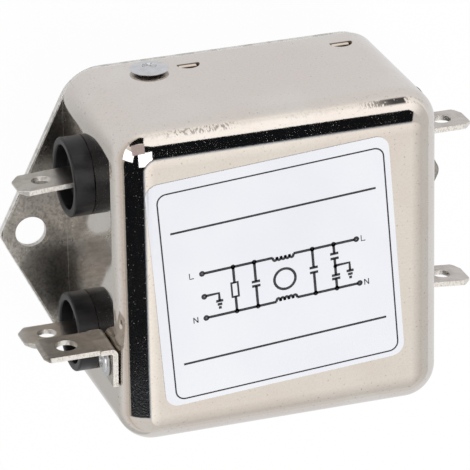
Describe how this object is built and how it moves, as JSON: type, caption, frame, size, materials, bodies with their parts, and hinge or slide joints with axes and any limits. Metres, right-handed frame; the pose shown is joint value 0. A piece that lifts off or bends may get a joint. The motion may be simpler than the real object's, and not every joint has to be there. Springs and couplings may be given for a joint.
{
  "type": "emi line filter",
  "caption": "Mains line filter in a drawn metal can on an eared base plate, with tab terminals in black bushings.",
  "frame": {"origin": "midway between the two mounting holes, in the plane of the base plate's underside", "axes": "+Z from the base plate to the labelled face, +X from the input tabs to the output tabs through both mounting holes, +Y towards the line terminals"},
  "size_m": [0.0716, 0.0516, 0.0298],
  "materials": {
    "nickel_can": "bright nickel plate on drawn steel, mirror-like with faint mottling",
    "nickel_plate": "nickel plate on stamped steel, slightly dull",
    "label_film": "white polyester film with dark grey print",
    "zinc_strip": "zinc-plated steel strip",
    "rivet_metal": "plated steel blind rivet",
    "terminal_metal": "tinned terminal strip with bright sheared edges",
    "ground_tab_metal": "nickel-plated strip, brushed, slightly tarnished",
    "bushing_plastic": "black moulded thermoplastic, satin",
    "lead_insulation": "green insulated copper lead",
    "liner_film": "fish-paper style insulating sheet",
    "board_laminate": "phenolic or glass laminate",
    "solder": "tin solder",
    "capacitor_box": "moulded box filled with resin",
    "disc_coating": "dipped blue coating",
    "resistor_coating": "lacquered film resistor",
    "core_coating": "epoxy-coated ring core",
    "choke_moulding": "black moulded base and divider",
    "magnet_wire": "enamelled copper wire"
  },
  "bodies": {
    "root": {"can": "nickel_can", "base_plate": "nickel_plate", "label": "label_film", "rivet_strip_top": "zinc_strip", "rivet_strip_bottom": "zinc_strip", "plate_rivet_top": "rivet_metal", "plate_rivet_bottom": "rivet_metal", "input_line_tab": "terminal_metal", "input_neutral_tab": "terminal_metal", "output_line_tab": "terminal_metal", "output_neutral_tab": "terminal_metal", "input_line_bushing": "bushing_plastic", "input_neutral_bushing": "bushing_plastic", "output_line_bushing": "bushing_plastic", "output_neutral_bushing": "bushing_plastic", "ground_tab": "ground_tab_metal", "ground_tab_rivet": "rivet_metal", "ground_lug": "terminal_metal", "ground_lead": "lead_insulation", "insulating_liner": "liner_film", "circuit_board": "board_laminate", "solder_joints": "solder", "line_capacitor_input": "capacitor_box", "line_capacitor_output": "capacitor_box", "ground_capacitor_line": "disc_coating", "ground_capacitor_neutral": "disc_coating", "bleed_resistor": "resistor_coating", "choke_core": "core_coating", "choke_base": "choke_moulding", "choke_winding_line": "magnet_wire", "choke_winding_neutral": "magnet_wire"}
  },
  "joints": []
}
